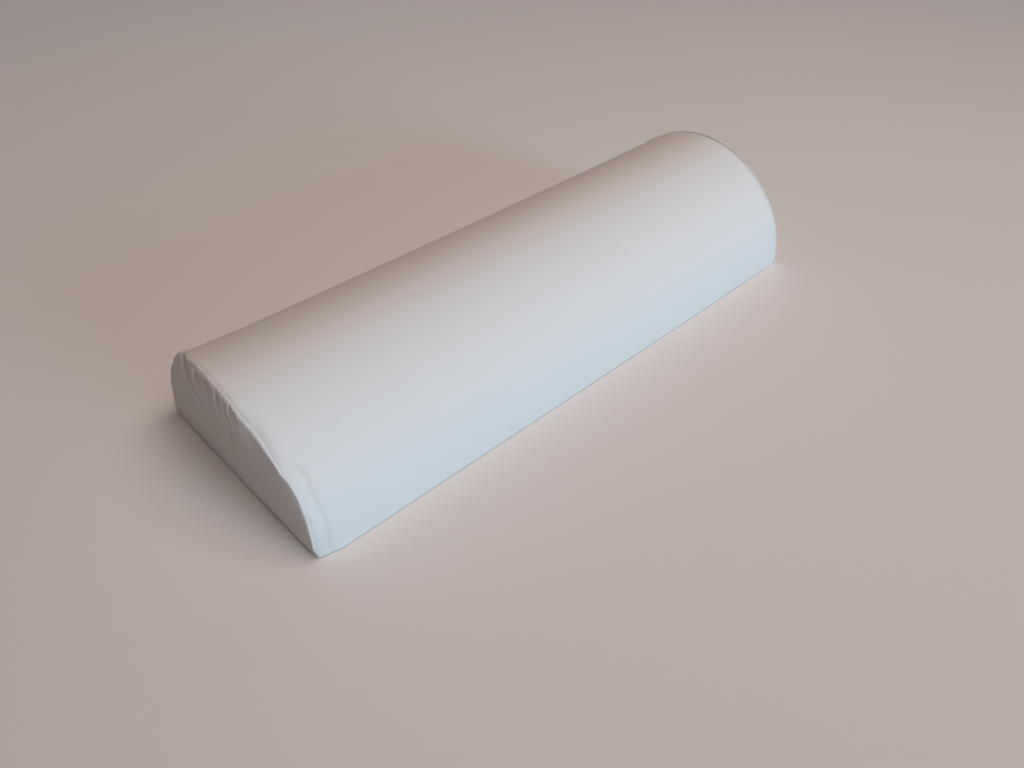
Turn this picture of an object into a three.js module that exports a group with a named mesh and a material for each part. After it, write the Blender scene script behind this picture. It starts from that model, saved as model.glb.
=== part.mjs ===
// A half-round knee pillow: a firm bolster with a flat base and a domed top, in a sewn
// jersey cover. One long cloth is wrapped round the filling, and a D-shaped cloth is sewn
// into each end. Millimetres, X along the pillow, -Y to its front, +Z up.
import * as THREE from "three";

// Driving dimensions of the finished pillow.
const pillowLength = 530; // from one end seam to the other
const baseWidth = 200;
const crownHeight = 98;
const baseEdgeRadius = 4; // the long bottom edges
const endCrown = 2.5; // how far an end cloth swells past its seam
const endCloth = 2.2; // thickness of an end cloth, with its turned edge
const clothGap = 0.3; // between an end cloth and the filled body
const endLift = 0.5; // an end cloth stops this far above the surface

// The top is an arc through both long edges and the crown.
const domeRadius = (crownHeight ** 2 + (baseWidth / 2) ** 2) / (2 * crownHeight);
const domeCentreZ = crownHeight - domeRadius;

// How finely the section is stepped.
const domeSteps = 76;
const cornerSteps = 3;
const baseSteps = 12;

// Rings of an end face are drawn in towards this point, each at a share of full size.
const faceHub = { y: 0, z: 0.42 * crownHeight };
const faceShares = [1, 0.975, 0.94, 0.88, 0.78, 0.64, 0.46, 0.24];
const seamRoll = { share: 0.975, height: 1.1 }; // the turned edge stands up beside the seam

// How an end seam wanders, once round the section. Angle runs over the dome from the front
// bottom edge at 0 to the back one at 180, then along the base to 360. The seam is drawn in
// towards the axis, and pushed outward past its plane.
const leftSeam = [
  { angle: 0, drawnIn: 0.6, outward: -1.7 },
  { angle: 12, drawnIn: 0.2, outward: -0.6 },
  { angle: 30, drawnIn: -1.6, outward: -1.2 },
  { angle: 40, drawnIn: 0.8, outward: 0 },
  { angle: 52, drawnIn: 3.0, outward: 0.6 },
  { angle: 66, drawnIn: 4.0, outward: 0.9 },
  { angle: 84, drawnIn: 3.0, outward: 0.5 },
  { angle: 100, drawnIn: 2.0, outward: 0 },
  { angle: 116, drawnIn: 1.4, outward: -0.4 },
  { angle: 140, drawnIn: 3.0, outward: 0 },
  { angle: 164, drawnIn: 1.8, outward: 0.3 },
  { angle: 180, drawnIn: 0.6, outward: -1.2 },
  { angle: 230, drawnIn: 0.6, outward: 0.6 },
  { angle: 310, drawnIn: 0.6, outward: 0.6 },
  { angle: 360, drawnIn: 0.6, outward: -1.7 },
];
const rightSeam = [
  { angle: 0, drawnIn: 0.5, outward: -1.2 },
  { angle: 20, drawnIn: 1.2, outward: 0 },
  { angle: 48, drawnIn: 2.6, outward: 0.5 },
  { angle: 70, drawnIn: 1.6, outward: -0.4 },
  { angle: 104, drawnIn: 2.8, outward: 0.3 },
  { angle: 132, drawnIn: 1.4, outward: 0 },
  { angle: 160, drawnIn: 2.2, outward: 0.5 },
  { angle: 180, drawnIn: 0.5, outward: -1.2 },
  { angle: 230, drawnIn: 0.5, outward: 0.4 },
  { angle: 310, drawnIn: 0.5, outward: 0.4 },
  { angle: 360, drawnIn: 0.5, outward: -1.2 },
];
const cornerPull = { depth: 2.4, reach: 26 }; // millimetres in, degrees up from the base

// The wrapped cloth along the pillow, by distance from an end seam. The columns say what
// share of the seam's drawing-in, of the pull at a bottom corner and of the rise of the
// allowance band is left there.
const wrapStations = [
  { fromSeam: 0, drawn: 1, corner: 1, band: 0 },
  { fromSeam: 1.6, drawn: 0.72, corner: 0.93, band: 0.5 },
  { fromSeam: 4, drawn: 0.46, corner: 0.82, band: 1 },
  { fromSeam: 8, drawn: 0.24, corner: 0.6, band: 1 },
  { fromSeam: 11, drawn: 0.13, corner: 0.45, band: 0.8 },
  { fromSeam: 13.5, drawn: 0.07, corner: 0.32, band: -0.35 },
  { fromSeam: 17, drawn: 0.02, corner: 0.17, band: -0.1 },
  { fromSeam: 24, drawn: 0, corner: 0, band: 0 },
  { fromSeam: 60, drawn: 0, corner: 0, band: 0 },
  { fromSeam: 150, drawn: 0, corner: 0, band: 0 },
];

// Where the seam allowance lies flat under the wrapped cloth and lifts it into a band. The
// band rises from one angle to the next, is full to the third and gone at the last.
const leftBand = { start: -9, full: 0, fading: 35, end: 44, rise: 0.9 };
const rightBand = { start: 106, full: 120, fading: 161, end: 175, rise: 0.6 };

// Long soft folds in an end cloth, each a ridge from near the seam down into the cloth. A
// fold's height comes and goes at these shares of its length.
const foldReach = { start: -0.3, full: 0.1, fading: 0.25, end: 1.15 };
const leftFolds = [
  { fromY: 49, fromZ: 80, toY: 38, toZ: 44, width: 5.0, height: 1.5 },
  { fromY: 32, fromZ: 84, toY: 23, toZ: 58, width: 3.6, height: 1.9 },
  { fromY: 12, fromZ: 90, toY: 7, toZ: 60, width: 4.0, height: 1.4 },
  { fromY: -7, fromZ: 89, toY: -1, toZ: 52, width: 4.4, height: 1.6 },
  { fromY: -24, fromZ: 84, toY: -22, toZ: 50, width: 4.0, height: 1.8 },
];
const rightFolds = [
  { fromY: -34, fromZ: 82, toY: -26, toZ: 56, width: 4.6, height: 1.4 },
  { fromY: -6, fromZ: 90, toY: -8, toZ: 60, width: 4.4, height: 1.2 },
  { fromY: 30, fromZ: 84, toY: 24, toZ: 50, width: 5.0, height: 1.5 },
];

// Colours and finish of the off-white jersey.
const wrapFinish = { color: new THREE.Color(0.8, 0.79, 0.77), roughness: 0.9, metalness: 0 };
const endFinish = { color: new THREE.Color(0.77, 0.75, 0.73), roughness: 0.92, metalness: 0 };

// Eases from 0 at one value to 1 at another.
const ease = (value, from, to) => THREE.MathUtils.smoothstep((value - from) / (to - from), 0, 1);

// Comes, stays and goes as a table row's start, full, fading and end say.
const through = (value, { start, full, fading, end }) =>
  ease(value, start, full) * ease(value, end, fading);

// Reads one column of a table at an angle, easing from row to row.
function readAt(rows, angle, column) {
  const next = rows.findIndex((row) => row.angle >= angle);
  if (next <= 0) return rows[next < 0 ? rows.length - 1 : 0][column];
  const [a, b] = [rows[next - 1], rows[next]];
  return a[column] + ease(angle, a.angle, b.angle) * (b[column] - a[column]);
}

// The undistorted D section as points once round, from the front bottom edge over the dome
// to the back one and home along the base. Each keeps its angle over the dome.
function sectionPoints() {
  const points = [];
  const add = (y, z, angle = THREE.MathUtils.radToDeg(Math.atan2(z, -y))) => {
    points.push({ y, z, angle });
  };
  const low = Math.asin((baseEdgeRadius - domeCentreZ) / domeRadius);
  const cornerY = domeRadius * Math.cos(low) - baseEdgeRadius;
  for (let i = cornerSteps; i >= 1; i--) {
    const turn = (i / cornerSteps) * (Math.PI / 2);
    const y = -cornerY - baseEdgeRadius * Math.cos(turn);
    add(y, baseEdgeRadius * (1 - Math.sin(turn)));
  }
  for (let i = 0; i <= domeSteps; i++) {
    const turn = low + (i / domeSteps) * (Math.PI - 2 * low);
    add(-domeRadius * Math.cos(turn), domeCentreZ + domeRadius * Math.sin(turn));
  }
  for (let i = 1; i <= cornerSteps; i++) {
    const turn = (i / cornerSteps) * (Math.PI / 2);
    add(cornerY + baseEdgeRadius * Math.cos(turn), baseEdgeRadius * (1 - Math.sin(turn)));
  }
  for (let i = 1; i < baseSteps; i++) {
    add(cornerY * (1 - (2 * i) / baseSteps), 0, 180 * (1 + i / baseSteps));
  }
  return points;
}
const section = sectionPoints();

// What is particular to each end: the way it faces, and its seam, band and folds.
const ends = {
  left: { facing: -1, seam: leftSeam, band: leftBand, folds: leftFolds },
  right: { facing: 1, seam: rightSeam, band: rightBand, folds: rightFolds },
};

// How much a bottom corner is pulled in at an angle.
function pullIn(angle) {
  const fromBase = angle > 180 ? 0 : Math.min(angle, 180 - angle);
  return cornerPull.depth * ease(fromBase, cornerPull.reach, 0);
}

// The swell of an end cloth, 1 where it is fullest and 0 along the base and the dome.
function swellAt(y, z) {
  const fullest = domeRadius / Math.sqrt(3);
  const most = fullest * (domeRadius ** 2 - fullest ** 2);
  return (z * (domeRadius ** 2 - y ** 2 - (z - domeCentreZ) ** 2)) / most;
}

// One ring of the wrapped cloth, at a station measured from an end's seam.
function wrapRing(end, station) {
  return section.map(({ y, z, angle }) => {
    const drawnIn = readAt(end.seam, angle, "drawnIn") * station.drawn;
    const pulledIn = pullIn(angle) * station.corner;
    const overEdge = ease(z, 0, baseEdgeRadius);
    const rise = end.band.rise * through(angle, end.band) * overEdge * station.band;
    const scale = 1 - (drawnIn + pulledIn - rise) / domeRadius;
    const lifted = z > 0 ? domeCentreZ + (z - domeCentreZ) * scale : 0;
    const outward = readAt(end.seam, angle, "outward") * station.drawn;
    const inset = endCloth + clothGap;
    const fromMiddle = pillowLength / 2 - inset - station.fromSeam + outward;
    return new THREE.Vector3(end.facing * fromMiddle, y * scale, Math.max(lifted, 0));
  });
}

// How high the folds stand at a point of an end cloth.
function foldHeight(folds, y, z) {
  return folds.reduce((sum, fold) => {
    const run = new THREE.Vector2(fold.toY - fold.fromY, fold.toZ - fold.fromZ);
    const from = new THREE.Vector2(y - fold.fromY, z - fold.fromZ);
    const along = from.dot(run) / run.lengthSq();
    const aside = Math.abs(from.cross(run)) / run.length() / fold.width;
    return sum + fold.height * through(along, foldReach) * Math.exp(-(aside ** 2));
  }, 0);
}

// One ring of an end face: the seam's outline at a share of its size, swelling outward
// towards the hub. Depth is measured inward from the cloth's outer side.
function faceRing(end, share, depth, options = {}) {
  const { lift = 0, folded = false, rolled = false } = options;
  return section.map(({ y, z, angle }) => {
    const scale = 1 - (readAt(end.seam, angle, "drawnIn") + pullIn(angle)) / domeRadius;
    const rimY = y * scale;
    const rimZ = Math.max(z > 0 ? domeCentreZ + (z - domeCentreZ) * scale : 0, lift);
    const atY = faceHub.y + share * (rimY - faceHub.y);
    const atZ = faceHub.z + share * (rimZ - faceHub.z);
    const outward = readAt(end.seam, angle, "outward") * share ** 2;
    const roll = rolled && share === seamRoll.share && z > 0 ? seamRoll.height : 0;
    const relief = roll + (folded ? foldHeight(end.folds, atY, atZ) : 0);
    const swell = endCrown * swellAt(share * y, faceHub.z + share * (z - faceHub.z));
    const fromMiddle = pillowLength / 2 + outward + swell + relief - depth;
    return new THREE.Vector3(end.facing * fromMiddle, atY, atZ);
  });
}

// A closed skin over rings of equal count, with a fan to the middle of the first and last.
function skin(rings) {
  const count = section.length;
  const middle = (ring) =>
    ring.reduce((sum, p) => sum.add(p), new THREE.Vector3()).divideScalar(count);
  const points = [...rings.flat(), middle(rings[0]), middle(rings[rings.length - 1])];
  const faces = [];
  for (let ring = 0; ring + 1 < rings.length; ring++) {
    for (let i = 0; i < count; i++) {
      const [a, b] = [ring * count + i, ring * count + ((i + 1) % count)];
      faces.push(a, b + count, b, a, a + count, b + count);
    }
  }
  const last = (rings.length - 1) * count;
  for (let i = 0; i < count; i++) {
    const next = (i + 1) % count;
    faces.push(rings.length * count, i, next);
    faces.push(rings.length * count + 1, last + next, last + i);
  }
  const geometry = new THREE.BufferGeometry().setFromPoints(points);
  geometry.setIndex(faces);
  geometry.computeVertexNormals();
  return geometry;
}

// The filled body: an end face, the wrapped cloth from end to end, and the other face.
function bodyGeometry() {
  const inset = endCloth + clothGap;
  const face = (end) => faceShares.slice(1).map((share) => faceRing(end, share, inset));
  const wrap = (end) => wrapStations.map((station) => wrapRing(end, station));
  return skin([
    ...face(ends.left).reverse(),
    ...wrap(ends.left),
    ...wrap(ends.right).reverse(),
    ...face(ends.right),
  ]);
}

// An end cloth: its folded outer side from the hub to the seam, and its inner side back.
function endGeometry(end) {
  const inside = { lift: endLift, folded: true };
  const outside = { ...inside, rolled: true };
  const outer = faceShares.map((share) => faceRing(end, share, 0, outside));
  const inner = faceShares.map((share) => faceRing(end, share, endCloth, inside));
  const rings = [...outer.reverse(), ...inner];
  return skin(end.facing < 0 ? rings : rings.reverse());
}

const pillow = new THREE.Group();
const addPiece = (name, geometry, finish) => {
  const mesh = new THREE.Mesh(geometry, new THREE.MeshStandardMaterial(finish));
  mesh.name = name;
  pillow.add(mesh);
};
addPiece("filled_body", bodyGeometry(), wrapFinish);
addPiece("end_cloth_left", endGeometry(ends.left), endFinish);
addPiece("end_cloth_right", endGeometry(ends.right), endFinish);

// The origin is the middle of the base, under the middle of the pillow's length.
const box = new THREE.Box3().setFromObject(pillow, true);
const middle = box.getCenter(new THREE.Vector3());
pillow.position.set(-middle.x, -middle.y, -box.min.z);

export default pillow;
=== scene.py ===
# Knee pillow: a half-round bolster in off-white jersey, lying on its flat base.
# Metres, X along the pillow, -Y to its front, +Z up.
import math

import bmesh
import bpy
from mathutils import Matrix, Vector, noise


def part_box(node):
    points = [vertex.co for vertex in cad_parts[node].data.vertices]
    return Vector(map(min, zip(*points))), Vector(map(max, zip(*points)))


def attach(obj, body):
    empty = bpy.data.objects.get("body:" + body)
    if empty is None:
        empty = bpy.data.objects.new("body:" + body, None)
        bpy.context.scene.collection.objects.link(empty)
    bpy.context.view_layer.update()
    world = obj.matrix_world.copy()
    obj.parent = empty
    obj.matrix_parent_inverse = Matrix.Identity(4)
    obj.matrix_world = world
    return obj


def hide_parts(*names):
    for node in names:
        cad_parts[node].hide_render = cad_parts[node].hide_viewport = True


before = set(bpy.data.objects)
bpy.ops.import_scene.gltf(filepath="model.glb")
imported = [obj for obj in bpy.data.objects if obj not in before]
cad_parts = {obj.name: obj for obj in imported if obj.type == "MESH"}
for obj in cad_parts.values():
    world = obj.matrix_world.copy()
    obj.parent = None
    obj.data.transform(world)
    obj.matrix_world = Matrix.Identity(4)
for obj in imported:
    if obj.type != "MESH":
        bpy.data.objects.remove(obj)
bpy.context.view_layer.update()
mm = 0.001

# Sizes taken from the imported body
bodyLow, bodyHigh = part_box("filled_body")
pillow = {
    "halfLength": (bodyHigh.x - bodyLow.x) / 2,  # from the middle to an end seam
    "middleX": (bodyHigh.x + bodyLow.x) / 2,
    "crown": bodyHigh.z,
    "halfWidth": 100 * mm,
    "baseEdge": 2 * mm,  # radius of the long bottom edges
    "sag": 1.2 * mm,  # the crown gives a little between the ends
    "onBase": 0.01 * mm,  # a point lower than this lies on the base
}
domeRadius = (pillow["crown"] ** 2 + pillow["halfWidth"] ** 2) / (2 * pillow["crown"])
domeCentre = pillow["crown"] - domeRadius
domeLow = math.asin((pillow["baseEdge"] - domeCentre) / domeRadius)  # where the dome starts
cornerY = domeRadius * math.cos(domeLow) - pillow["baseEdge"]
print("frame loaded: half length", round(pillow["halfLength"], 4), "dome radius", round(domeRadius, 4))


# Small helpers
def ease(value, start, end):  # 0 at start, 1 at end, smooth between
    t = min(1, max(0, (value - start) / (end - start)))
    return t * t * (3 - 2 * t)


def bell(value, centre, width):  # 1 at the centre, falling off either side
    return math.exp(-(((value - centre) / width) ** 2))


def readRow(rows, angle):  # the columns of a table after its first, eased from row to row
    if angle <= rows[0][0]:
        return rows[0][1:]
    for a, b in zip(rows, rows[1:]):
        if angle <= b[0]:
            share = ease(angle, a[0], b[0])
            return [p + share * (q - p) for p, q in zip(a[1:], b[1:])]
    return rows[-1][1:]


def angleOver(y, z):  # degrees over the dome, from the front edge at 0 to the back at 180
    return math.degrees(math.atan2(max(z, 0), -y))


def angleUnder(y):  # the same along the base, from the back edge at 180 to the front at 360
    return 180 + 90 * (1 - y / cornerY)


def rimReach(angle):  # how far the plain D section reaches from the origin at an angle
    turn = math.radians(min(angle, 180 - angle))
    edge = pillow["baseEdge"]
    if turn < math.atan2(edge, cornerY + edge):
        across = cornerY * math.cos(turn) + edge * math.sin(turn)
        return across + math.sqrt(max(0, across ** 2 - cornerY ** 2))
    up = domeCentre * math.sin(turn)
    return up + math.sqrt(domeRadius ** 2 - (domeCentre * math.cos(turn)) ** 2)


def only(kind, geometry):  # the points, or the edges, of what an operator gives
    return [item for item in geometry if isinstance(item, kind)]


def finishMesh(bm, name):
    mesh = bpy.data.meshes.new(name)
    bm.to_mesh(mesh)
    bm.free()
    mesh.shade_smooth()
    piece = bpy.data.objects.new(name, mesh)
    bpy.context.scene.collection.objects.link(piece)
    return piece


# The two ends. A table's rows start with degrees over the dome, and along the base the seam
# goes on from 180 at the back to 360 at the front. Its other columns are mm.
ends = {
    "left": {
        "facing": -1,
        # drawn in, pushed outward
        "seam": [
            (0, 0.4, -2.2), (6, 0.3, -0.4), (15, 0, -1.0), (23, -0.3, -1.9), (31, -1.2, -2.3),
            (37, -1.0, -1.8), (42, 0.5, -0.4), (54, 2.0, 0.3), (61, 2.4, 0.6), (67, 2.2, 0.9),
            (75, 1.2, 1.0), (84, 0.9, 1.0), (94, -0.2, 0.8), (103, -1.4, 0.3), (112, -2.7, -0.3),
            (126, -3.1, -0.4), (131, -2.1, -0.5), (138, -0.4, -0.9), (150, 0.3, -1.0),
            (166, 0.4, -0.8), (174, 0.3, -0.2), (180, 0, 0.1), (200, 0, -0.1), (275, 0, -0.1),
            (300, 0, -0.4), (320, 0, -0.8), (340, 0, -1.1), (352, 0, -1.8), (360, 0.4, -2.4),
        ],
        # radius of the end cloth's turn over the edge, how far the wrap is tucked under it, how
        # far the end cloth slopes back before it turns
        "roll": [
            (0, 0.9, 0.05, 0), (40, 0.9, 0.1, 0), (46, 1.0, 0.5, 0.2), (53, 1.4, 0.5, 0.6),
            (60, 1.7, 0.4, 0.8), (64, 1.2, 0.5, 0.3), (67.5, 0.9, 0.5, 0), (72, 0.8, 0.5, 0),
            (112, 1.0, 0.5, 0), (118, 2.4, 0.5, 0), (126, 4.0, 0.4, 0), (134, 3.8, 0.3, 0),
            (142, 2.4, 0.2, 0), (152, 1.2, 0.2, 0), (180, 0.8, 0.2, 0),
        ],
        # the wrap's swell towards the end: degrees, degrees wide, mm high, mm along it
        "flare": {"angle": 127, "width": 30, "height": 1.1, "reach": 75},
        # the flat seam allowance under the wrap: from the seam to its far edge, lift of the wrap
        "band": [
            (0, 8.8, 0.4), (4, 9.3, 0.6), (8, 10.4, 0.7), (13, 11.8, 0.75), (19, 12.5, 0.75),
            (25, 12.0, 0.75), (31, 12.1, 0.8), (36, 13.0, 0.85), (39.5, 12.0, 0.8),
            (42.5, 9.6, 0.5), (45.5, 6.5, 0),
        ],
        # the trough behind the seam's roll: from the seam, deep
        "trough": [
            (42, 3.6, 0), (48, 4.0, 0.3), (55, 4.6, 0.45), (62, 5.2, 0.35), (70, 4.0, 0),
        ],
        "corners": {"front": 3.4, "back": 0},  # mm the two base corners are drawn in
        # degrees of the first and last gather and of a step, mm high and mm down the end cloth
        "gathers": {"first": 105, "last": 70, "step": 2.5, "height": 0.17, "length": 15},
        # the end cloth swells below its gathers: degrees, mm high, mm from the rim
        "puff": {"first": 122, "last": 56, "height": 3.6, "within": 6.5},
        # folds in the end cloth: (y, z) points in mm from the seam down, mm high (a groove is
        # below 0), mm wide to the front and to the back
        "folds": [
            ([(45, 97), (38, 91), (32, 84), (28, 73), (24, 64), (19, 54)], -2.1, 2.4, 4.4),
            ([(23, 91), (19, 85), (16, 78), (12, 65)], 0.6, 4.0, 2.8),
            ([(18, 95), (15, 84), (11, 76), (8, 66), (4, 56)], -0.8, 1.3, 2.4),
            ([(43, 85), (43, 77), (43, 65)], 0.4, 5.0, 5.0),
            ([(2, 93), (0, 83), (-2, 73), (-3, 63)], -0.7, 1.2, 1.8),
            ([(-8, 93), (-10, 83), (-11, 71)], 0.3, 3.0, 2.4),
            ([(-12, 93), (-14, 80), (-12, 73), (-14, 65), (-13, 55), (-12, 41)], -1.2, 1.4, 2.9),
            ([(-21, 88), (-23, 75), (-24, 62), (-23, 52)], -0.9, 1.3, 2.5),
            ([(-25, 95), (-24, 86), (-23, 79)], 0.3, 1.8, 1.6),
            ([(-26, 92), (-27, 84)], -0.6, 0.9, 1.1),
            ([(-35, 91), (-36, 81), (-35, 67)], 0.3, 3.4, 3.2),
        ],
    },
    "right": {
        "facing": 1,
        "seam": [
            (0, 0.6, -1.2), (7, 0.8, -1.3), (14, 0.9, -1.2), (22, 0.8, -0.8), (34, 0.8, -0.6),
            (48, 0.9, -0.4), (70, -0.1, -0.8), (92, -0.5, -0.2), (116, -0.6, 0.3), (136, 0.9, 0),
            (160, 1.4, 0.5), (180, 0.3, -1.2), (230, 0.5, 0.4), (310, 0.5, 0.4),
            (345, 0.4, -0.7), (360, 0.6, -1.2),
        ],
        "roll": [
            (0, 0.9, 0.3, 0), (50, 1.0, 0.5, 0), (80, 0.8, 0.7, 0), (116, 0.8, 0.5, 0),
            (140, 1.2, 0.4, 0), (180, 0.9, 0.3, 0),
        ],
        "flare": {"angle": 0, "width": 40, "height": -0.9, "reach": 120},
        "band": [
            (110, 5.0, 0), (118, 9.0, 0.4), (128, 11.5, 0.7), (144, 11.0, 0.7), (158, 11.6, 0.7),
            (170, 9.6, 0.6), (180, 8.6, 0.4),
        ],
        "trough": [
            (30, 2.4, 0), (44, 2.8, 0.3), (60, 3.4, 0.4), (76, 2.8, 0.2), (92, 3.4, 0.35),
            (106, 3.0, 0.2), (114, 2.6, 0),
        ],
        "corners": {"front": 0.8, "back": 1.2},
        "gathers": {"first": 98, "last": 62, "step": 2.7, "height": 0.3, "length": 12},
        "puff": {"first": 116, "last": 38, "height": 0.9, "within": 6},
        "folds": [
            ([(-43, 87), (-38, 74), (-31, 60), (-26, 46)], -0.7, 2.6, 3.4),
            ([(-27, 94), (-25, 80), (-21, 64)], -0.5, 2.2, 3.0),
            ([(-9, 97), (-10, 80), (-13, 60), (-14, 42)], -0.8, 2.4, 3.4),
            ([(14, 96), (13, 82), (10, 66)], -0.5, 2.4, 3.0),
            ([(30, 93), (28, 78), (23, 60), (19, 46)], -0.7, 2.6, 3.4),
        ],
    },
}
seamFall = {
    "draw": 5.4,  # mm along the wrap in which what the seam does fades
    "corner": 21,  # mm along the wrap that a drawn-in corner reaches
    "upTo": 26,  # degrees up from the base that it reaches
    "panel": 7,  # mm into the end cloth in which the seam's push outward fades
}
rim = {
    "behind": 0.9,  # mm from the seam back to the wrap's edge
    "plainTurn": 0.9,  # mm of turn and slope that leave the seam on the edge
    "under": 0.7,  # share of a wide turn's radius that the wrap's edge stands back
    "spare": 0.6,  # mm of that which need no room
    "fadeTimes": 3,  # it fades in this many times as far, and in so many mm more
    "fadeMore": 4,
    "along": 0.6,  # mm of the end cloth's last turn, along the pillow and down
    "drop": 0.12,
    "dropShare": 0.6,  # and share of the wrap's tuck
}
gathering = {
    "starts": (5, -2),  # degrees from the first gather at which they begin and are full
    "stops": (-4, 2),  # and from the last one, at which they have gone and are full
    "pitchEvery": 8,  # degrees in which their pitch wavers
    "pitchShare": 0.5,
    "tallEvery": 6,  # degrees in which their height varies
    "tallLeast": 0.75,
    "tallShare": 0.5,
    "seeds": (3.1, 7.7),
}


def seamAt(end, angle):  # metres drawn in, metres more at a corner, metres outward
    drawnIn, outward = readRow(end["seam"], angle)
    most = end["corners"]["front" if angle < 90 or angle > 270 else "back"]
    fromCorner = min(abs(angle - corner) for corner in (0, 180, 360))
    return drawnIn * mm, most * ease(fromCorner, seamFall["upTo"], 0) * mm, outward * mm


def turnDrop(fromEdge, radius):  # how far a quarter round falls, in mm
    q = min(1, max(0, 1 - fromEdge / radius))
    return radius * (1 - math.sqrt(1 - q * q))


def gathered(end, angle):  # 1 where the seam is gathered, 0 where it is smooth
    first, last = end["gathers"]["first"], end["gathers"]["last"]
    start, startFull = gathering["starts"]
    stop, stopFull = gathering["stops"]
    return ease(angle, first + start, first + startFull) * ease(angle, last + stop, last + stopFull)


def gatherWave(end, angle):  # 1 on a gather's ridge, 0 between, and 0 where there are none
    step, last = end["gathers"]["step"], end["gathers"]["last"]
    pitchSeed, tallSeed = gathering["seeds"]
    uneven = noise.noise(Vector((angle / gathering["pitchEvery"], pitchSeed * step, 0)))
    phase = (angle - last) / step + gathering["pitchShare"] * uneven
    vary = noise.noise(Vector((angle / gathering["tallEvery"], tallSeed * step, 0)))
    tall = gathering["tallLeast"] + gathering["tallShare"] * vary
    return gathered(end, angle) * tall * (0.5 + 0.5 * math.cos(2 * math.pi * phase))


# The wrapped cloth
wrap = {
    "domeSteps": 340,  # cells round the section
    "cornerSteps": 4,
    "baseSteps": 16,
    # along the pillow from an end seam: mm to reach, steps to get there
    "stations": [(2.4, 9), (4.2, 4), (9.5, 7), (13.5, 7), (20, 5), (32, 5), (60, 5), (265, 18)],
    "seamReach": 130 * mm,  # a seam shapes it this far
    "unevenness": 0.16 * mm,
    "unevenScale": 14,
    # behind an end cloth: mm in, share of the way out from the hub
    "closing": [(0.3, 0.992), (1.2, 0.98), (1.8, 0.7)],
    "hub": 0.42,  # share of the crown's height
}
nearSeam = {  # mm, most of them from the seam
    "bandClimb": (0.8, 5),  # where the wrap climbs onto the seam allowance
    "bandStep": (-1.2, 0.8),  # where it steps down again, from the allowance's far edge
    "bandDip": {"past": 2, "wide": 2.4, "share": 0.5},  # it dips a little beyond that step
    "troughWide": 1.8,
    "gatherLift": 0.3,  # high
    "gatherFade": (3.2, 1),  # where nothing is left of a gather, and where it is full
    "flareFull": 8,
    "flareStart": 5,  # from the seam on top to where the swell may be full
    "tuckFade": 2.2,
}
paintedCreaseShade = {  # painted shade in the wrap's creases: mm past a feature, mm wide, painted shade for each mm of the feature's height or depth
    "band": {"past": 1.4, "wide": 1.5, "dark": 0.3},
    "trough": {"past": 0, "wide": nearSeam["troughWide"], "dark": 0.4},
    "seam": {"past": 1, "wide": 1.1, "dark": 0.5},
}


def rimBack(end, angle, fromSeam):  # metres more that the wrap's edge stands back under a wide turn
    radius, _, slope = readRow(end["roll"], angle)
    most = max(0, rim["under"] * radius + slope - rim["spare"])
    reach = rim["fadeTimes"] * most + rim["fadeMore"]
    return most * (1 - ease(fromSeam / mm, rim["behind"], reach)) * mm


def wrapPaintedShade(end, angle, fromSeam):  # painted shade, 0 to 1: how far the colour is darkened where a crease would keep light out
    edge, rise = readRow(end["band"], angle)
    at, deep = readRow(end["trough"], angle)
    radius, tuck, slope = readRow(end["roll"], angle)
    places = {"band": (edge, rise), "trough": (at, deep), "seam": (radius + slope, tuck)}
    paintedShade = 0
    for kind, (place, size) in places.items():
        line = paintedCreaseShade[kind]
        paintedShade += line["dark"] * size * bell(fromSeam / mm, place + line["past"], line["wide"])
    return min(1, paintedShade)


def wrapLift(end, angle, fromSeam):  # mm that the cloth stands off the plain section
    s = fromSeam / mm
    drawnIn, pull, _ = seamAt(end, angle)
    radius, tuck, slope = readRow(end["roll"], angle)
    onTop = max(0, radius + slope - rim["plainTurn"])  # mm that the seam has come up over the edge
    lift = -drawnIn / mm * math.exp(-max(0, s - onTop) / seamFall["draw"])
    lift -= pull / mm * ease(s, seamFall["corner"], 0)
    edge, rise = readRow(end["band"], angle)
    down, foot = nearSeam["bandStep"]
    dip = nearSeam["bandDip"]
    flat = ease(s, *nearSeam["bandClimb"]) * (1 - ease(s, edge + down, edge + foot))
    lift += rise * (flat - dip["share"] * bell(s, edge + dip["past"], dip["wide"]))
    at, deep = readRow(end["trough"], angle)
    lift -= deep * bell(s, at, nearSeam["troughWide"])
    lift += nearSeam["gatherLift"] * gatherWave(end, angle) * ease(s, *nearSeam["gatherFade"])
    flare = end["flare"]
    away = abs(angle - flare["angle"])
    flared = flare["height"] * bell(min(away, 360 - away), 0, flare["width"])
    swelling = flared * ease(s, flare["reach"], nearSeam["flareFull"])
    lift += swelling * ease(s, onTop, onTop + nearSeam["flareStart"])
    tuck *= 1 - ease(s, radius + slope, radius + slope + nearSeam["tuckFade"])
    return lift - turnDrop(s - slope, radius) - tuck


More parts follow.
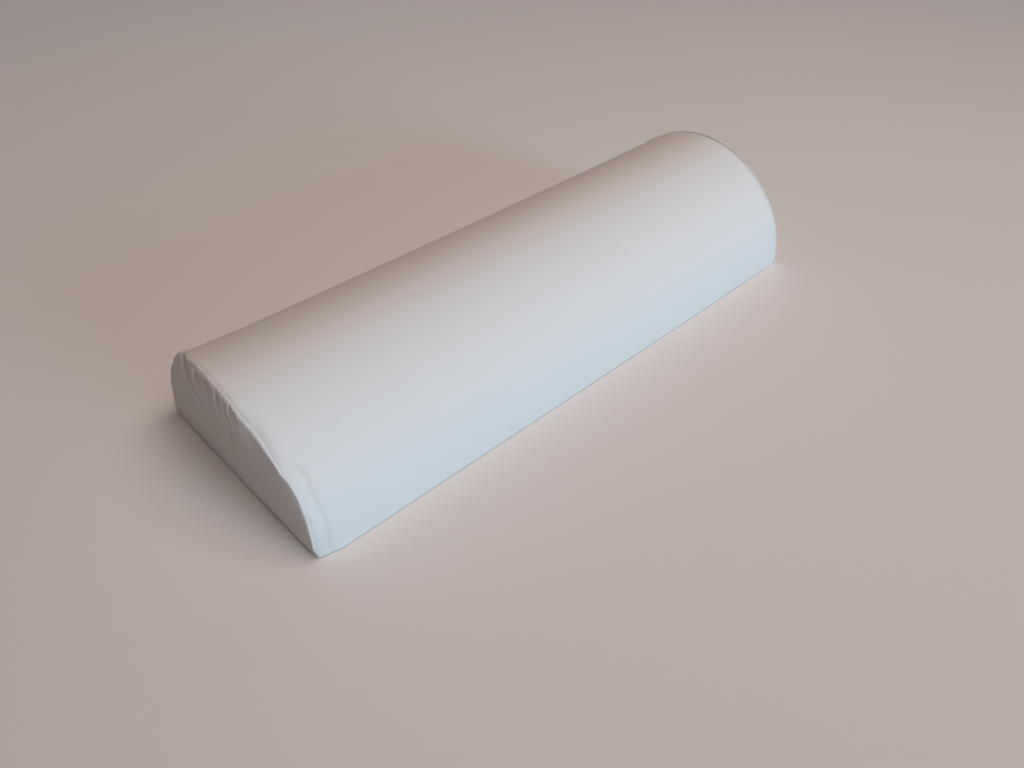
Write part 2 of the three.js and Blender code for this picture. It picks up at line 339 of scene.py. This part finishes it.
def makeTube():  # the plain D section, drawn along the pillow from seam to seam
    bm = bmesh.new()
    start = -(pillow["halfLength"] - rim["behind"] * mm)
    edge = pillow["baseEdge"]
    section = [bm.verts.new((start, -cornerY, 0))]

    def turn(centreY, centreZ, angle, steps):  # spins the section's last point on
        out = bmesh.ops.spin(
            bm, geom=section[-1:], cent=(start, centreY, centreZ), axis=(1, 0, 0), angle=angle,
            steps=steps, dvec=(0, 0, 0), use_duplicate=False,
        )
        section.append(only(bmesh.types.BMVert, out["geom_last"])[0])

    turn(-cornerY, edge, -(math.pi / 2 - domeLow), wrap["cornerSteps"])
    turn(0, domeCentre, -(math.pi - 2 * domeLow), wrap["domeSteps"])
    turn(cornerY, edge, -(math.pi / 2 - domeLow), wrap["cornerSteps"])
    bmesh.ops.spin(
        bm, geom=section[-1:], cent=(0, 0, 0), axis=(1, 0, 0), angle=0, steps=wrap["baseSteps"],
        dvec=(0, -2 * cornerY / wrap["baseSteps"], 0), use_duplicate=False,
    )
    bmesh.ops.remove_doubles(bm, verts=bm.verts, dist=0.05 * mm)  # joins its last point to its first
    ring = list(bm.edges)
    reached = [0] + [row[0] for row in wrap["stations"]]
    spans = [(b - a, row[1]) for a, b, row in zip(reached, reached[1:], wrap["stations"])]
    total = sum(length for length, _ in spans)
    scale = -start / (total * mm)  # the last station is the pillow's middle
    for length, steps in spans + spans[::-1]:
        out = bmesh.ops.spin(
            bm, geom=ring, cent=(0, 0, 0), axis=(1, 0, 0), angle=0, steps=steps,
            dvec=(length * mm * scale / steps, 0, 0), use_duplicate=False,
        )
        ring = only(bmesh.types.BMEdge, out["geom_last"])
    return bm


def unwrap(bm):  # lays the cloth's own coordinates on the wrap, in metres
    layer = bm.loops.layers.uv.new("cloth")
    for face in bm.faces:
        base = all(v.co.z < pillow["onBase"] for v in face.verts)
        for loop in face.loops:
            co = loop.vert.co
            over = domeRadius * math.atan2(co.z - domeCentre, -co.y)
            loop[layer].uv = (co.x, co.y if base else over)


def drapeWrap(bm):  # moves the plain wrap's points to where the seams and the filling put them
    # painted shade: this layer darkens the cloth's colour where creases would keep light out
    shade = bm.verts.layers.float.new("paintedShade")
    for v in bm.verts:
        angle = angleOver(v.co.y, v.co.z)
        base = v.co.z < pillow["onBase"]
        along = angleUnder(v.co.y) if base else angle
        lift, shift = 0, 0
        for end in ends.values():
            facing = end["facing"]
            fromSeam = pillow["halfLength"] - facing * v.co.x
            if fromSeam < wrap["seamReach"]:
                back = rimBack(end, along, fromSeam)
                fromSeam += back
                shift -= facing * back
                lift += wrapLift(end, along, fromSeam) * mm
                # painted shade in the creases by the band, the trough and the seam
                v[shade] += wrapPaintedShade(end, along, fromSeam)
                outward = seamAt(end, along)[2]
                shift += facing * outward * math.exp(-fromSeam / (seamFall["draw"] * mm))
        if not base:
            p = v.co * wrap["unevenScale"]
            lift += wrap["unevenness"] * noise.noise(Vector((p.x, p.y, p.z)))
            middle = 1 - (v.co.x / pillow["halfLength"]) ** 2
            lift -= pillow["sag"] * middle * math.sin(math.radians(angle)) ** 2
        share = 1 + lift / domeRadius
        v.co = Vector((v.co.x + shift + pillow["middleX"], v.co.y * share, v.co.z * share))


def closeEnds(bm):  # turns each end in behind its end cloth and closes it
    hub = Vector((0, 0, wrap["hub"] * pillow["crown"]))
    for facing in (-1, 1):
        edge = [e for e in bm.edges if e.is_boundary and e.verts[0].co.x * facing > 0]
        for inward, share in wrap["closing"]:
            out = bmesh.ops.extrude_edge_only(bm, edges=edge)
            edge = only(bmesh.types.BMEdge, out["geom"])
            for v in only(bmesh.types.BMVert, out["geom"]):
                v.co.x -= facing * inward * mm
                v.co.y = hub.y + share * (v.co.y - hub.y)
                v.co.z = hub.z + share * (v.co.z - hub.z)
        bmesh.ops.edgeloop_fill(bm, edges=edge)


wrapMesh = makeTube()
unwrap(wrapMesh)
drapeWrap(wrapMesh)
closeEnds(wrapMesh)
bmesh.ops.recalc_face_normals(wrapMesh, faces=wrapMesh.faces)
cover = finishMesh(wrapMesh, "pillowCover")
print("wrapped cloth made,", len(cover.data.vertices), "points")

# The end cloths
endCloth = {
    "across": 340,  # cells along the base
    "up": 110,
    "thick": 0.6 * mm,
    "edgeThick": 0.3,  # share of it along the seam
    "thickFrom": 2.5,  # mm from the rim to where it is all there
    "lift": 0.3 * mm,  # its bottom edge stands clear of the surface
    "liftUpTo": 6 * mm,
    "baseUpTo": 12 * mm,  # the seam along the base moves the cloth up to here
    "swell": 2.3,  # mm
    "fuller": 0.8,  # below 1, the swell keeps more of its height towards the rim
    "slopeEnd": 6,  # mm from the rim
    "gatherIn": 0.25 * mm,  # the rim comes out with each gather
    "rimFade": (-0.6, 1.8),  # mm from the rim: the relief begins, and is full
    "turnFade": 0.9,  # or is full at this share of a wide turn's radius
}
fold = {
    "reach": 16,  # mm aside
    "spread": (0.8, 0.8),  # share of its width at its start, and added by its end
    "fading": 0.5,  # share of its length
    "dark": 0.45,  # painted shade for each mm of depth
}
gatherShape = {
    "slant": 0.35,  # they run down and a little forward
    "full": 1,  # mm from the rim
    "atRim": 0.4,  # share of their height there, all of it rimTo mm down
    "rimTo": 2,
    "dark": 0.3,  # painted shade between them
    "darkFull": 2,
    "darkAtRim": 0.5,
}
puffShape = {"firstFade": -8, "lastFade": 30, "gone": 40, "full": 12}  # degrees, degrees, mm, mm


def alongPath(path, y, z):  # share of the path, and mm aside of it, above 0 to the front
    best = (0, math.inf)
    lengths = [math.dist(a, b) for a, b in zip(path, path[1:])]
    total, before = sum(lengths), 0
    for (ay, az), (by, bz), length in zip(path, path[1:], lengths):
        t = ((y - ay) * (by - ay) + (z - az) * (bz - az)) / length ** 2
        t = min(1, max(0, t))
        away = (ay + t * (by - ay) - y, az + t * (bz - az) - z)
        aside = math.copysign(math.hypot(*away), away[0])
        if abs(aside) < abs(best[1]):
            best = ((before + t * length) / total, aside)
        before += length
    return best


def swellAt(y, z):  # 1 where the end cloth is fullest, 0 along its rim and the base
    most = domeRadius / mm / math.sqrt(3)
    dome = (domeRadius / mm) ** 2
    swell = z * (dome - y * y - (z - domeCentre / mm) ** 2) / (most * (dome - most ** 2))
    return max(0, swell) ** endCloth["fuller"]


def endRelief(end, y, z, fromRim):  # mm outward at a point in mm, and its painted shade from 0 to 1
    relief, paintedShade = endCloth["swell"] * swellAt(y, z), 0
    narrow, widening = fold["spread"]
    for path, height, front, back in end["folds"]:
        share, aside = alongPath(path, y, z)
        if abs(aside) < fold["reach"]:
            spread = (front if aside > 0 else back) * (narrow + widening * share)
            high = height * bell(aside, 0, spread) * ease(share, 1, fold["fading"])
            relief += high
            # painted shade deep in a fold's groove
            paintedShade += max(0, -high * bell(aside, 0, spread) * fold["dark"])
    gathers, puff, shape = end["gathers"], end["puff"], gatherShape
    topAngle = angleOver(y + shape["slant"] * fromRim, z + fromRim)  # up a gather, at the rim
    wave = gatherWave(end, topAngle)
    nearRim = ease(fromRim, 0, shape["rimTo"])
    tall = gathers["height"] * wave * ease(fromRim, gathers["length"], shape["full"])
    relief += tall * (shape["atRim"] + (1 - shape["atRim"]) * nearRim)
    puffed = ease(topAngle, puff["first"], puff["first"] + puffShape["firstFade"])
    puffed *= ease(topAngle, puff["last"], puff["last"] + puffShape["lastFade"])
    puffed *= 1 - math.exp(-fromRim / puff["within"])
    relief += puff["height"] * puffed * ease(fromRim, puffShape["gone"], puffShape["full"])
    # painted shade in the hollows between the gathers
    between = max(0, gathered(end, topAngle) - wave)
    dark = shape["dark"] * between * ease(fromRim, gathers["length"], shape["darkFull"])
    paintedShade += dark * (shape["darkAtRim"] + (1 - shape["darkAtRim"]) * nearRim)
    return relief, min(1, paintedShade)


def placePoint(end, v, shade, weights):  # takes a point of a flat square to its place in the D
    u = (v.co.x + math.sin(v.co.x * math.pi / 2)) / 2  # the cells are smaller at the rim
    w = math.sin((v.co.y + 1) * math.pi / 4)
    roundY, roundZ = u * math.sqrt(1 - w * w / 2), w * math.sqrt(1 - u * u / 2)
    angle = angleOver(roundY, roundZ)
    share = math.hypot(roundY, roundZ)
    reach = rimReach(angle)
    drawnIn, pull, outward = seamAt(end, angle)
    turnIn = (drawnIn + pull - endCloth["gatherIn"] * gatherWave(end, angle)) * share ** 2
    r = share * (reach - turnIn)
    y, z = -r * math.cos(math.radians(angle)), r * math.sin(math.radians(angle))
    fromRim = (1 - share) * reach / mm
    relief, v[shade] = endRelief(end, y / mm, z / mm, fromRim)
    radius, _, slope = readRow(end["roll"], angle)
    begins, full = endCloth["rimFade"]
    relief *= ease(min(fromRim, z / mm), begins, max(full, endCloth["turnFade"] * radius))
    relief -= turnDrop(fromRim, radius) + slope * (1 - ease(fromRim, 0, endCloth["slopeEnd"]))
    baseOut = readRow(end["seam"], angleUnder(y))[1] * mm
    outward *= math.exp(-fromRim / seamFall["panel"])
    outward += (baseOut - outward) * ease(z, endCloth["baseUpTo"], 0)
    x = end["facing"] * (pillow["halfLength"] + outward + relief * mm) + pillow["middleX"]
    v.co = Vector((x, y, z + endCloth["lift"] * ease(z, endCloth["liftUpTo"], 0)))
    v[weights][0] = ease(fromRim, 0, endCloth["thickFrom"])


def turnRim(bm, end, weights):  # the last of the end cloth's turn, down onto the wrap
    above = 1.01 * endCloth["lift"]  # leaves out the edge along the base
    edge = [e for e in bm.edges if e.is_boundary and max(v.co.z for v in e.verts) > above]
    out = bmesh.ops.extrude_edge_only(bm, edges=edge)
    for v in only(bmesh.types.BMVert, out["geom"]):
        tuck = readRow(end["roll"], angleOver(v.co.y, v.co.z))[1]
        drop = (rim["drop"] + rim["dropShare"] * tuck) * mm
        share = 1 - drop / math.hypot(v.co.y, v.co.z)
        x = v.co.x - end["facing"] * rim["along"] * mm
        v.co = Vector((x, v.co.y * share, v.co.z * share))
        v[weights][0] = 0


def makeEndCloth(name, end):
    bm = bmesh.new()
    layer = bm.loops.layers.uv.new("cloth")
    weights = bm.verts.layers.deform.verify()
    # painted shade: this layer darkens the cloth's colour where folds would keep light out
    shade = bm.verts.layers.float.new("paintedShade")
    bmesh.ops.create_grid(bm, x_segments=endCloth["across"], y_segments=endCloth["up"], size=1)
    for v in bm.verts:
        placePoint(end, v, shade, weights)
    turnRim(bm, end, weights)
    bmesh.ops.recalc_face_normals(bm, faces=bm.faces)
    for face in bm.faces:
        for loop in face.loops:
            loop[layer].uv = (loop.vert.co.y, loop.vert.co.z)
    if sum(f.normal.x * f.calc_area() for f in bm.faces) * end["facing"] < 0:
        bmesh.ops.reverse_faces(bm, faces=bm.faces)
    piece = finishMesh(bm, name)
    wall = piece.modifiers.new("thickness", "SOLIDIFY")
    wall.thickness = endCloth["thick"]
    wall.offset = -1
    piece.vertex_groups.new(name="full")
    wall.vertex_group = "full"
    wall.thickness_vertex_group = endCloth["edgeThick"]
    return piece


endLeft = makeEndCloth("endClothLeft", ends["left"])
endRight = makeEndCloth("endClothRight", ends["right"])
print("end cloths made,", len(endLeft.data.vertices), "points each")

# Floor
ground = {"half": 6, "below": 0.2 * mm, "colour": (0.78, 0.775, 0.77), "roughness": 0.9}
floorMesh = bmesh.new()
bmesh.ops.create_grid(floorMesh, x_segments=1, y_segments=1, size=ground["half"])
bmesh.ops.translate(floorMesh, verts=floorMesh.verts, vec=(0, 0, -ground["below"]))
floor = finishMesh(floorMesh, "floor")


# Materials
class Sock:  # a value in a material, with its maths
    def __init__(self, tree, socket):
        self.tree, self.socket = tree, socket

    def math(self, operation, *others):
        made = self.tree.nodes.new("ShaderNodeMath")
        made.operation = operation
        for place, value in enumerate((self, *others)):
            if isinstance(value, Sock):
                self.tree.links.new(value.socket, made.inputs[place])
            else:
                made.inputs[place].default_value = value
        return Sock(self.tree, made.outputs[0])

    def beside(self, output):  # another output of the same node
        return Sock(self.tree, self.socket.node.outputs[output])

    def __add__(self, other):
        return self.math("ADD", other)

    def __sub__(self, other):
        return self.math("SUBTRACT", other)

    def __rsub__(self, other):
        return (self * -1) + other

    def __mul__(self, other):
        return self.math("MULTIPLY", other)

    __radd__ = __add__
    __rmul__ = __mul__


class Finish:  # a material's nodes
    def __init__(self, name):
        self.material = bpy.data.materials.new(name)
        self.material.use_nodes = True
        self.tree = self.material.node_tree
        self.tree.nodes.clear()

    def node(self, kind, settings, sockets, output=0):
        made = self.tree.nodes.new("ShaderNode" + kind)
        for key, value in settings.items():
            setattr(made, key, value)
        for key, value in sockets.items():
            if isinstance(value, Sock):
                self.tree.links.new(value.socket, made.inputs[key])
            else:
                made.inputs[key].default_value = value
        return Sock(self.tree, made.outputs[output]) if len(made.outputs) else None

    def blend(self, kind, factor, first, second):  # two colours
        settings = {"data_type": "RGBA", "blend_type": kind}
        return self.node("Mix", settings, {0: factor, 6: first, 7: second}, output=2)


knit = {
    "wale": 0.75 * mm,  # width of a column of stitches
    "course": 0.6 * mm,  # height of a row of them
    "slant": 1.1,  # how far a stitch's legs climb
    "legs": 0.25,  # share of the relief that is single stitches, the rest is columns
    "fuzz": {"Scale": 1400, "Detail": 3, "Roughness": 0.6},
    "clouds": {"Scale": 22, "Detail": 2},
    "loopHeight": 0.6,
    "fuzzHeight": 0.5,
    "bump": {"Strength": 0.2, "Distance": 0.2 * mm},
}
jerseyLook = {
    "colour": (0.76, 0.75, 0.74),
    "low": 0.965,  # painted shade: share of the colour left between stitches
    "cloudy": 0.5,  # share of the darkening that is soft clouds of uneven tone, the rest is painted shade between the stitch columns
    "paintedShade": (0.6, 0.56, 0.54),  # painted shade: what is left of the colour deep in a crease
    "surface": {
        "Roughness": 0.86, "Sheen Weight": 0.12, "Sheen Roughness": 0.5, "Specular IOR Level": 0.25,
    },
}


def opaque(colour):
    return list(colour) + [1]


def jersey(name):
    finish = Finish(name)
    uv = finish.node("UVMap", {"uv_map": "cloth"}, {})
    parts = finish.node("SeparateXYZ", {}, {0: uv})
    across = parts.beside(1) * (1 / knit["wale"])
    along = parts * (1 / knit["course"])
    column = (across * math.pi).math("SINE").math("ABSOLUTE")
    slant = (across.math("FRACT") - 0.5).math("ABSOLUTE") * knit["slant"]
    stitch = ((along + slant) * (2 * math.pi)).math("SINE")
    loops = column * ((1 - knit["legs"]) + stitch * knit["legs"])
    place = finish.node("TexCoord", {}, {}, output=3)  # Object
    fuzz = finish.node("TexNoise", {}, {"Vector": place, **knit["fuzz"]})
    clouds = finish.node("TexNoise", {}, {"Vector": place, **knit["clouds"]})
    height = loops * knit["loopHeight"] + fuzz * knit["fuzzHeight"]
    bump = finish.node("Bump", {}, {**knit["bump"], "Height": height})
    colour = jerseyLook["colour"]
    # painted shade between the stitch columns, mixed with soft clouds of uneven tone
    low = [c * jerseyLook["low"] for c in colour]
    mixed = clouds * jerseyLook["cloudy"] + loops * (1 - jerseyLook["cloudy"])
    toneAndStitchShade = finish.blend("MIX", mixed, opaque(low), opaque(colour))
    # painted shade: the colour darkens towards the crease colour where folds would keep light out
    paintedShade = finish.node("Attribute", {"attribute_name": "paintedShade"}, {}, output=2)
    paintedShadeColour = finish.blend("MULTIPLY", paintedShade, toneAndStitchShade, opaque(jerseyLook["paintedShade"]))
    sockets = {"Base Color": paintedShadeColour, **jerseyLook["surface"], "Normal": bump}
    shader = finish.node("BsdfPrincipled", {}, sockets)
    finish.node("OutputMaterial", {}, {"Surface": shader})
    return finish.material


def paleFloor():
    finish = Finish("paleFloor")
    sockets = {"Base Color": opaque(ground["colour"]), "Roughness": ground["roughness"]}
    shader = finish.node("BsdfPrincipled", {}, sockets)
    finish.node("OutputMaterial", {}, {"Surface": shader})
    return finish.material


cover.data.materials.append(jersey("wrapJersey"))
endJersey = jersey("endJersey")
endLeft.data.materials.append(endJersey)
endRight.data.materials.append(endJersey)
floor.data.materials.append(paleFloor())

# What each piece is
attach(cover, "root")
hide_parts("filled_body")
for piece, node in ((endLeft, "end_cloth_left"), (endRight, "end_cloth_right")):
    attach(piece, "root")
    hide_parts(node)

# Camera, at the photo's angle
view = {
    "azimuth": -43.24,
    "elevation": 40.82,
    "distance": 0.72876,  # from the middle of the base, along the line of sight
    "right": 0.00136,
    "up": -0.04831,
    "focal": 823.4,  # pixels
    "imageWidth": 1024,
    "sensor": 36,
}
azimuth, elevation = math.radians(view["azimuth"]), math.radians(view["elevation"])
level = math.cos(elevation)
back = Vector((math.sin(azimuth) * level, -math.cos(azimuth) * level, math.sin(elevation)))
right = Vector((math.cos(azimuth), math.sin(azimuth), 0))
up = back.cross(right)
cameraData = bpy.data.cameras.new("camera")
cameraData.sensor_width = view["sensor"]
cameraData.lens = view["focal"] * view["sensor"] / view["imageWidth"]
camera = bpy.data.objects.new("camera", cameraData)
bpy.context.scene.collection.objects.link(camera)
at = view["right"] * right + view["up"] * up + view["distance"] * back
turned = Matrix((right, up, back)).transposed().to_4x4()
camera.matrix_world = Matrix.Translation(at) @ turned
bpy.context.scene.camera = camera

# Light
lights = [  # name, kind, azimuth and elevation it comes from, metres away, size, strength, colour
    ("front", "SUN", 8, 6, 2.0, 0.44, 2.05, (0.37, 0.75, 1.0)),
    ("top", "AREA", 35, 70, 1.6, 1.0, 0.98, (1.0, 0.81, 0.73)),
    ("high", "SUN", -4, 60, 2.0, 0.7, 0.98, (1.0, 0.81, 0.73)),
]
room = {"colour": (1.0, 0.68, 0.5), "strength": 0.03}  # the little light from all around
for name, kind, fromAzimuth, height, away, size, strength, colour in lights:
    lamp = bpy.data.lights.new(name, kind)
    if kind == "SUN":
        lamp.angle = size
        lamp.energy = strength
    else:
        lamp.shape = "DISK"
        lamp.size = size
        lamp.energy = strength * math.pi * away ** 2
    lamp.color = colour
    holder = bpy.data.objects.new(name, lamp)
    holder.rotation_euler = (math.radians(90 - height), 0, math.radians(fromAzimuth))
    holder.location = holder.rotation_euler.to_matrix() @ Vector((0, 0, away))
    bpy.context.scene.collection.objects.link(holder)
world = bpy.data.worlds.new("studio")
world.use_nodes = True
background = world.node_tree.nodes["Background"].inputs
background["Color"].default_value = opaque(room["colour"])
background["Strength"].default_value = room["strength"]
bpy.context.scene.world = world
bpy.context.scene.view_settings.view_transform = "Standard"
print("materials, camera and light set")
